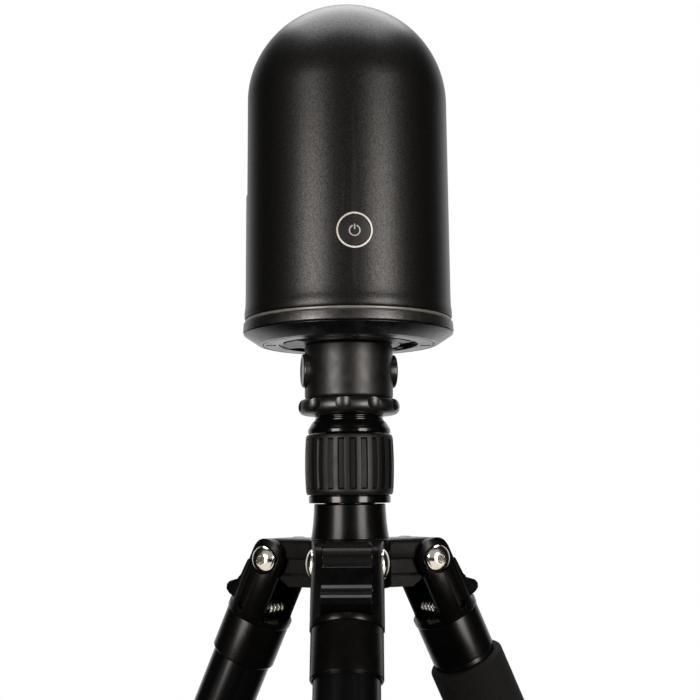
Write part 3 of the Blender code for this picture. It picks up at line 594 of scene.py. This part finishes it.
def make_column_lock():
    outline = [(12.5, 57.9), (18.4, 57.9), (18.4, 29.5), (18.9, 29.5), (19.2, 29.2), (19.2, 26.4)]
    outline += [(18.9, 26.1), (12.5, 26.1)]
    core = turned("lock_core", softened(outline, 0.25, closed=True), 128, closed=True)
    piece(core, COLUMN, "column_lock", "gloss_black", ["column_lock"])
    outline = [(18.8, 57.9), (19.6, 57.9), (20.2, 57.3)]
    heights = [56.4, 56.0, 55.6, 55.2, 54, 52, 50, 48, 46, 44, 42, 40, 38, 36, 34, 33.2, 32.8, 32.4, 31.6]
    outline += [(grip_radius(height), height) for height in heights]
    outline += [(20.2, 30.6), (19.7, 29.9), (18.8, 29.9)]
    grip = turned("rubber_grip", outline, 480, closed=True, shape=grip_shape)
    piece(grip, COLUMN, "column_lock", "rubber", ["column_grip"], sharp=24)
    # Faces inside the recessed slots take the darker rubber, which paints shade into the slots.
    grip.data.materials.append(RECESS_PAINTED_SHADE)
    for face in grip.data.polygons:
        spot = face.center / MM
        sunk_in_painted_shade = 19 < spot.xy.length < grip_radius(spot.z) - 0.5
        if sunk_in_painted_shade and SLOT_ENDS[0] + 0.2 < spot.z < SLOT_ENDS[1] - 0.2:
            face.material_index = 1


def arm_outline():
    """Side view of an arm: flat top, round end on the pivot with two shallow notches, flat underside."""
    outline = [(13, ARM_TOP), (13, ARM_BOTTOM), (27.5, ARM_BOTTOM)]
    outline += arc(LEG_PIVOT, 0, ARM_TOP, -120, 4, 18)
    outline += arc(LEG_PIVOT, 0, NOTCH_TOP, 6, 25, 4) + arc(LEG_PIVOT, 0, ARM_TOP, 27, 48, 5)
    outline += arc(LEG_PIVOT, 0, NOTCH_TOP, 50, 60, 3) + arc(LEG_PIVOT, 0, ARM_TOP, 62, 84, 5)
    return outline


def arm_section():
    """The arm seen end on: rounded upper edges, and a recessed face along each side."""
    half = [(10.5, ARM_BOTTOM), (10.5, -7.8), (9.0, -6.4), (9.0, -0.2), (10.2, 0.3), (10.5, 1.2)]
    half += arc(7.3, 6.6, 3.2, 0, 90, 8)
    return half + [(-x, z) for x, z in reversed(half)]


def make_crown():
    hub = ring("hub", 19, 12.5, 9.8, ARM_BOTTOM, 1.0, 128)
    for side in SIDES:
        spot = COLUMN.inverted() @ LEGS[side].translation
        arm = plate("arm", arm_outline(), -12, 12)
        section = moved(plate("section", arm_section(), -60, -5), turn=(90, "Z"))
        arm = combined(arm, section, "INTERSECT")
        bore = moved(rod("bore", 3.4, 20, -20), (LEG_PIVOT, 0, 0), (90, "X"))
        arm = moved(combined(arm, bore), turn=(degrees(atan2(spot.y, spot.x)), "Z"))
        hub = combined(hub, arm, "UNION")
    hub = combined(hub, rod("passage", 12.5, 30, -30, 96))
    piece(hub, COLUMN, "crown", "cast_black", ["crown"], edge=0.35)
    hub.name = "crown_casting"
    outline = [(12.5, 25.8), (16.3, 25.8), (16.75, 25.4), (16.85, 22), (17.2, 17), (17.7, 13)]
    outline += [(18.1, 10.4), (18.2, 9.9), (12.5, 9.9)]
    collar = turned("collar_cone", softened(outline, 0.3, closed=True), 128, closed=True)
    piece(collar, COLUMN, "crown", "cast_black", ["crown_collar"])
    for side in SIDES:
        for sign in (-1, 1):
            washer = rod(f"{side}_washer_{sign + 1}", 5.0, 10.8, 10.55, 48)
            washer = moved(washer, turn=(sign * 90, "X"))
            piece(washer, LEGS[side], "crown", "cast_black", material=BRASS)


# ---------------------------------------------------------------- legs

# In a leg's own frame, whose origin is the pivot: along the leg is -z and outwards is +x.
TAB_PIN = (2, 0, -25)
SPRING_PIN = (-5, 0, -23.6)
SPRING_PITCH = 3.0
LOCK_RADIUS = 16
LOCK_FLUTES = 20


def make_bracket(side, place):
    outline = [(0, 20), (15.9, 20), (15.9, -30.2), (15.75, -30.5), (15.35, -30.8), (15.45, -31.2)]
    outline += [(15.45, -51.2), (15.1, -51.8), (14.5, -51.8), (14.5, -33.7), (0, -33.7)]
    bracket = moved(turned("bracket", outline, 128), (TUBE_SHIFT, 0, 0))
    side_view = [(-20, -57), (20, -57), (20, -27.8), (9.3, -27.8), (9, -26)]
    side_view += arc(0, 0.9, 9, 0, 180, 32) + [(-9, -26), (-9.3, -27.8), (-20, -27.8)]
    bracket = combined(bracket, plate("side_view", side_view, -25, 25), "INTERSECT")
    bracket = combined(bracket, block("fork", (-25, -10.9, -27.8), (25, 10.9, 25)))
    stepped = [(0, 25), (7.1, 25), (6.9, 14.2), (3.4, 14.2)]
    stepped += [(x, -z) for x, z in reversed(stepped)]
    bracket = combined(bracket, moved(turned("bolt_way", stepped, 72), turn=(-90, "X")))
    bracket = combined(bracket, moved(rod("pin_way", 1.9, 25, -25, 32), TAB_PIN, (90, "X")))
    piece(bracket, place, f"{side}_leg", "cast_black", [f"{side}_leg_bracket"], edge=0.6)
    bracket.name = f"{side}_bracket"


def make_bolt(side, place):
    """A plain shank with a domed head outside each ear; each head has a hex socket."""
    half = [(3.0, 14.5), (6.3, 14.5), (6.5, 14.8), (6.5, 15.4), (6.2, 16.1), (5.5, 16.8), (4.6, 17.4)]
    half += [(3.4, 17.9), (2.6, 18.15), (0, 18.25)]
    outline = half[::-1] + [(x, -z) for x, z in half]
    bolt = turned("bolt", outline, 96)
    for sign in (-1, 1):
        socket = [(2.2 * cos(radians(60 * k + 12)), 2.2 * sin(radians(60 * k + 12))) for k in range(6)]
        low, high = sorted((sign * 15.4, sign * 20))
        bolt = combined(bolt, moved(plate("hex", socket, low, high), turn=(90, "X")))
    bolt = moved(bolt, turn=(-90, "X"))
    piece(bolt, place, f"{side}_leg", "chrome", [f"{side}_leg_pivot_bolt"], edge=0.12)
    bolt.name = f"{side}_bolt"


def make_tab(side, place):
    outline = [(1, -27), (1.4, -20), (3, -10.6), (6, -8.6), (8.9, -5.6), (10.9, -5.2), (11.5, -6)]
    outline += [(11.75, -9.4), (12, -14.3), (12.8, -16.2), (12.6, -16.6), (13.4, -17.4), (14.8, -18.6)]
    outline += [(16.6, -20.2), (17.4, -22.3), (16.6, -24.4), (14.4, -25.4), (8, -26.3)]
    tab = plate("tab", softened(outline, 0.5, closed=True), -10.6, 10.6)
    tab = combined(tab, moved(rod("pocket", 3.9, 6, -6), TAB_PIN, (90, "X")))
    piece(tab, place, f"{side}_tab", "cast_black", [f"{side}_leg_tab"], material=TAB_BLACK, edge=0.3)
    tab.name = f"{side}_angle_tab"
    pin = moved(rod(f"{side}_tab_pin", 1.5, 14.6, -14.6, 40, edge=0.4), TAB_PIN, (90, "X"))
    piece(pin, place, f"{side}_tab", "cast_black", material=TAB_BLACK)


def make_spring(side, place):
    """Four coils side by side on a pin of their own, behind the tab."""
    coils = []
    for number in range(4):
        coil = turned(f"{side}_spring", arc(2.6, 0, 0.75, 0, 330, 11), 48, closed=True)
        coils.append(moved(coil, (0, 0, SPRING_PITCH * (number - 1.5))))
    spring = moved(joined(coils), SPRING_PIN, (90, "X"))
    piece(spring, place, f"{side}_leg", "chrome")
    spring_pin = moved(rod(f"{side}_spring_pin", 1.2, 9.0, -9.0, 32), SPRING_PIN, (90, "X"))
    piece(spring_pin, place, f"{side}_leg", "steel")


def lock_shape(radius, height, angle):
    """Shallow flutes round a twist lock."""
    return radius - 0.55 * max(sin(angle * LOCK_FLUTES), 0) ** 2 if radius > 15.5 else radius


def make_lock(side, level, place, over, inner, end):
    """A twist lock on the lower end of a tube of radius over, where the one of radius inner comes out."""
    high, low, step = -end + 15, -end - 14, -end - 0.3
    wide, narrow = over + 0.4, inner + 0.4
    outline = [(wide, high), (14.8, high), (15.4, high - 0.6), (15.4, high - 3)]
    outline += [(LOCK_RADIUS, high - 3.6), (LOCK_RADIUS, high - 5)]
    outline += [(LOCK_RADIUS, low + 4), (LOCK_RADIUS, low + 2.6)]
    outline += [(15.4, low + 2), (15.4, low + 0.5), (14.9, low), (narrow, low)]
    outline += [(narrow, step), (wide, step)]
    outline = softened(outline, 0.25, closed=True)
    lock = turned(f"{side}_{level}_twist_lock", outline, 240, closed=True, shape=lock_shape)
    lock = moved(lock, (TUBE_SHIFT, 0, 0))
    piece(lock, place, f"{side}_{level}_lock", "lock", [f"{side}_leg_{level}_lock"])


def make_foot(side, place):
    outline = [(0, -296.3), (8.3, -296.3), (8.3, -306.3), (11, -306.3), (10.6, -308.5), (10.2, -310)]
    outline += [(10.8, -311.4)] + arc(0, -318, 13, 30, -90, 24)[:-1] + [(0, -331)]
    foot = moved(turned(f"{side}_rubber_foot", softened(outline, 0.4), 96), (TUBE_SHIFT, 0, 0))
    inverse = place.inverted()
    for vertex in foot.data.vertices:
        spot = place @ vertex.co
        vertex.co = inverse @ Vector((spot.x, spot.y, max(spot.z, 0)))
    piece(foot, place, f"{side}_lower", "rubber", [f"{side}_leg_foot"])


def make_leg(side):
    place = LEGS[side]
    make_bracket(side, place)
    make_bolt(side, place)
    make_tab(side, place)
    make_spring(side, place)
    tubes = [("upper", f"{side}_leg", 14.1, 12.8, -34, -258)]
    tubes += [("middle", f"{side}_middle", 12, 10.7, -62, -288)]
    tubes += [("lower", f"{side}_lower", 10, 8.7, -70, -306)]
    for name, moves_with, outer, bore, top, bottom in tubes:
        tube = moved(ring(f"{side}_{name}_pipe", outer, bore, top, bottom, 0.3), (TUBE_SHIFT, 0, 0))
        piece(tube, place, moves_with, "tube_black", [f"{side}_leg_{name}_tube"])
    for level, over, inner, end in (("upper", 14.1, 12, 258), ("lower", 12, 10, 288)):
        make_lock(side, level, place, over, inner, end)
    make_foot(side, place)


def make_foam():
    outline = [(14.5, -54.5), (17.3, -54.5), (18.3, -55.6), (18.3, -148.9), (17.3, -150), (14.5, -150)]
    sleeve = turned("foam_sleeve", softened(outline, 0.8, closed=True), 128, closed=True)
    piece(moved(sleeve, (TUBE_SHIFT, 0, 0)), LEGS["right"], "right_leg", "foam", ["foam_grip"])


def finish_hidden_nodes():
    for name, slot in (("main_board", "circuit_board"), ("battery", "battery")):
        node = frame["nodes"][name]
        for place in node.material_slots:
            place.material = MATERIALS[slot]
        bevel = node.modifiers.new("edges", "BEVEL")
        bevel.width = 0.6 * MM
        bevel.segments = 3


make_covers()
make_chassis()
make_scan_drive()
make_button()
make_cameras()
make_base()
make_adapter()
make_locking_ring()
make_column()
make_column_lock()
make_crown()
for leg_side in SIDES:
    make_leg(leg_side)
make_foam()
finish_hidden_nodes()

# ---------------------------------------------------------------- floor, light and camera

FLOOR_RADIUS = 1.35
FADE_START, FADE_END = 0.6, 1.3
STRIP_DISTANCE = 2
STRIP_AZIMUTH = 38
STRIP_HEIGHT = 0.46
WARM_WHITE = (1, 0.935, 0.885)
CAMERA_LENS = 62.13
CAMERA_TURN = radians(1.7)
CAMERA_DISTANCE = 0.570
CAMERA_RISE = 0.0294
CAMERA_YAW, CAMERA_PITCH, CAMERA_ROLL = 0.07, 6.89, 0.49


def make_floor():
    """A pale round floor that fades out at its edge."""
    mesh = bmesh.new()
    bmesh.ops.create_circle(mesh, cap_ends=True, segments=128, radius=FLOOR_RADIUS)
    floor = new_object("floor", mesh)
    floor.location = (AXIS.x, AXIS.y, -0.0002)
    material = surface("floor", (0.72, 0.72, 0.71), 0.55, grain=400, depth=0.02, wear=0.0, mottle=0.02)
    tree = material.node_tree
    place = add(tree, "TexCoord").outputs["Object"]
    radius = add(tree, "VectorMath", {0: place}, operation="LENGTH").outputs["Value"]
    fade = ranged(tree, radius, FADE_START, FADE_END, 0, 1)
    clear = add(tree, "BsdfTransparent").outputs[0]
    shader = tree.nodes["Principled BSDF"].outputs[0]
    mix = add(tree, "MixShader", {0: fade, 1: shader, 2: clear})
    tree.links.new(mix.outputs[0], tree.nodes["Material Output"].inputs[0])
    floor.data.materials.append(material)
    floor.visible_glossy = False
    floor.visible_diffuse = False


def make_world():
    """White behind for the camera; for the object, bright behind it and dark at the sides."""
    world = bpy.data.worlds.new("studio")
    bpy.context.scene.world = world
    world.use_nodes = True
    tree = world.node_tree
    way = add(tree, "TexCoord").outputs["Generated"]
    behind = add(tree, "SeparateXYZ", {0: way}).outputs["Y"]
    glow = ranged(tree, behind, 0.5, 0.92, 0.002, 1.0)
    seen = add(tree, "LightPath").outputs["Is Camera Ray"]
    strength = add(tree, "Math", {0: glow, 1: seen}, operation="MAXIMUM").outputs[0]
    tree.links.new(strength, tree.nodes["Background"].inputs["Strength"])
    tree.nodes["Background"].inputs["Color"].default_value = (1, 1, 1, 1)


def area_light(name, centre, target, width, height, radiance, colour=(1, 1, 1)):
    """A soft rectangular light facing the target. The factor 4 turns a radiance into Blender's watts."""
    data = bpy.data.lights.new(name, "AREA")
    data.shape = "RECTANGLE"
    data.size = width
    data.size_y = height
    data.energy = radiance * width * height * 4
    data.color = colour
    lamp = bpy.data.objects.new(name, data)
    bpy.context.scene.collection.objects.link(lamp)
    lamp.visible_camera = False
    facing = (Vector(target) - Vector(centre)).to_track_quat("-Z", "Y")
    lamp.matrix_world = Matrix.Translation(centre) @ facing.to_matrix().to_4x4()
    return lamp


def make_lights():
    """Two warm strips in front, a softbox overhead, and two cards that only the polished metal sees."""
    target = (AXIS.x, AXIS.y, STRIP_HEIGHT)
    for side in (-1, 1):
        azimuth = CAMERA_TURN + side * radians(STRIP_AZIMUTH)
        across, back = STRIP_DISTANCE * sin(azimuth), STRIP_DISTANCE * cos(azimuth)
        centre = (AXIS.x + across, AXIS.y - back, STRIP_HEIGHT)
        area_light(f"strip_{side + 1}", centre, target, 0.78, 1.14, 8.4, WARM_WHITE)
    centre = (AXIS.x, AXIS.y + 0.55, 2.0)
    area_light("overhead", centre, (AXIS.x, AXIS.y + 0.5501, 0), 1.6, 1.9, 3.0)
    centre = (AXIS.x, AXIS.y - 0.5, 0.02)
    low = area_light("low_card", centre, (AXIS.x, AXIS.y - 0.4999, 1), 2.4, 0.9, 0.85, (1, 0.95, 0.86))
    centre = (AXIS.x, AXIS.y - 1.2, 1.0)
    high = area_light("high_card", centre, (AXIS.x, AXIS.y, 0.35), 3.2, 1.4, 0.3, (0.93, 1, 0.95))
    for card in (low, high):
        card.light_linking.receiver_collection = CHROME


def make_camera():
    data = bpy.data.cameras.new("camera")
    data.sensor_width = 36
    data.lens = CAMERA_LENS
    data.clip_start = 0.01
    camera = bpy.data.objects.new("camera", data)
    bpy.context.scene.collection.objects.link(camera)
    bpy.context.scene.camera = camera
    across, back = CAMERA_DISTANCE * sin(CAMERA_TURN), CAMERA_DISTANCE * cos(CAMERA_TURN)
    spot = (across, AXIS.y - back, PIVOT_HEIGHT + CAMERA_RISE)
    turn = Matrix.Rotation(CAMERA_TURN - radians(CAMERA_YAW), 4, "Z")
    turn = turn @ Matrix.Rotation(radians(90 + CAMERA_PITCH), 4, "X")
    turn = turn @ Matrix.Rotation(-radians(CAMERA_ROLL), 4, "Z")
    camera.matrix_world = Matrix.Translation(spot) @ turn


make_floor()
make_world()
make_lights()
make_camera()
bpy.context.scene.view_settings.view_transform = "Standard"

bpy.context.view_layer.update()
